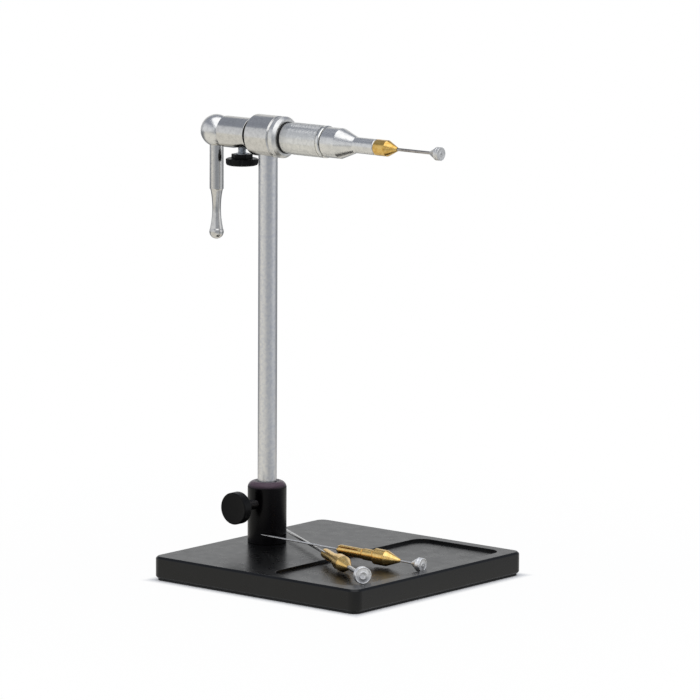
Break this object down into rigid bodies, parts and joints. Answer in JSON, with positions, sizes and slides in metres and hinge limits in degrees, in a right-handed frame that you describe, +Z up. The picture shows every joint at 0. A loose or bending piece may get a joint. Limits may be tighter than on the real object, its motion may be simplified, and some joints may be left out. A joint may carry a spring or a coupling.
{
  "type": "fly tying vise",
  "caption": "Pedestal rotary vise for tying flies on tubes, with a crank, a knurled chuck grip, a brass collet and a disc-ended mandrel; spare mandrels lie in the base tray.",
  "frame": {"origin": "middle of the flat face of the rubber pad that the vise stands on", "axes": "+X along the head from the crank towards the mandrel, +Y away from the lock knob, +Z up along the post"},
  "size_m": [0.1525, 0.13, 0.2255],
  "materials": {
    "black_anodised_plate": "satin black anodised",
    "rubber_pad": "matte",
    "black_anodised_socket": "satin black anodised",
    "steel": "ground",
    "dark_liner": "matte acetal",
    "brass": "turned and polished",
    "black_plastic": "moulded, fine grain",
    "aluminium": "satin turned",
    "bearing_bronze": "sintered",
    "bright_aluminium": "bright turned",
    "black_rubber": "matte",
    "nylon": "natural",
    "zinc": "zinc plated"
  },
  "bodies": {
    "base": {"base_plate": "black_anodised_plate", "rubber_pad": "rubber_pad", "post_socket": "black_anodised_socket", "socket_screw": "steel"},
    "lock_shoe": {"lock_shoe": "brass"},
    "lock_knob": {"lock_stud": "steel", "lock_knob": "black_plastic"},
    "liner": {"post_liner": "dark_liner"},
    "head": {"post": "aluminium", "main_housing": "aluminium", "post_dowel": "steel", "rear_sleeve": "aluminium", "rear_bush": "bearing_bronze", "front_bush": "bearing_bronze", "front_ring": "bright_aluminium", "friction_ring": "black_rubber"},
    "drag_shoe": {"drag_shoe": "nylon"},
    "drag_knob": {"drag_stud": "zinc", "drag_knob": "black_plastic"},
    "spindle": {"spindle": "steel", "crank_ball": "bright_aluminium", "crank_handle": "aluminium", "nose": "bright_aluminium"},
    "grip": {"knurled_grip": "aluminium"},
    "closer": {"closer": "steel", "closer_dogs": "steel"},
    "collet": {"collet": "brass"},
    "mandrel": {"mandrel_pin": "steel", "mandrel_disc": "bright_aluminium"},
    "long_rod": {"rod_collet": "brass", "spare_rod": "steel", "rod_disc": "bright_aluminium"},
    "needle": {"needle_collet": "brass", "spare_needle": "steel", "needle_disc": "bright_aluminium"}
  },
  "joints": [
    {"name": "post_swivel", "type": "hinge", "parent": "base", "child": "liner", "pos_m": [-0.046, 0, 0.03], "axis": [0, 0, 1], "continuous": true},
    {"name": "post_height", "type": "slide", "parent": "liner", "child": "head", "axis": [0, 0, 1], "range_m": [0, 0.015]},
    {"name": "lock_advance", "type": "slide", "parent": "base", "child": "lock_shoe", "axis": [0, -1, 0], "range_m": [0, 0.0012]},
    {"name": "lock_turn", "type": "hinge", "parent": "lock_shoe", "child": "lock_knob", "pos_m": [-0.046, -0.02, 0.0323], "axis": [0, -1, 0], "range_deg": [0, 540]},
    {"name": "drag_advance", "type": "slide", "parent": "head", "child": "drag_shoe", "axis": [0, 0, -1], "range_m": [0, 0.00105]},
    {"name": "drag_turn", "type": "hinge", "parent": "drag_shoe", "child": "drag_knob", "pos_m": [-0.0629, 0, 0.2033], "axis": [0, 0, -1], "range_deg": [0, 540]},
    {"name": "crank_spin", "type": "hinge", "parent": "head", "child": "spindle", "pos_m": [-0.046, 0, 0.2153], "axis": [1, 0, 0], "continuous": true},
    {"name": "closer_slide", "type": "slide", "parent": "spindle", "child": "closer", "axis": [1, 0, 0], "range_m": [-0.0015, 0]},
    {"name": "grip_turn", "type": "hinge", "parent": "spindle", "child": "grip", "pos_m": [-0.02, 0, 0.2153], "axis": [1, 0, 0], "range_deg": [-540, 0]},
    {"name": "collet_pull", "type": "slide", "parent": "spindle", "child": "collet", "axis": [1, 0, 0], "range_m": [0, 0.04]},
    {"name": "mandrel_pull", "type": "slide", "parent": "collet", "child": "mandrel", "axis": [1, 0, 0], "range_m": [0, 0.05]},
    {"name": "long_rod_lift", "type": "slide", "parent": "base", "child": "long_rod", "axis": [0, 0, 1], "range_m": [0, 0.03]},
    {"name": "needle_lift", "type": "slide", "parent": "long_rod", "child": "needle", "axis": [0, 0, 1], "range_m": [0, 0.03]}
  ],
  "couplings": [
    {"joint": "lock_turn", "follows": "lock_advance", "rad_per_m": 7853},
    {"joint": "drag_turn", "follows": "drag_advance", "rad_per_m": 8975},
    {"joint": "grip_turn", "follows": "closer_slide", "rad_per_m": 6283}
  ]
}
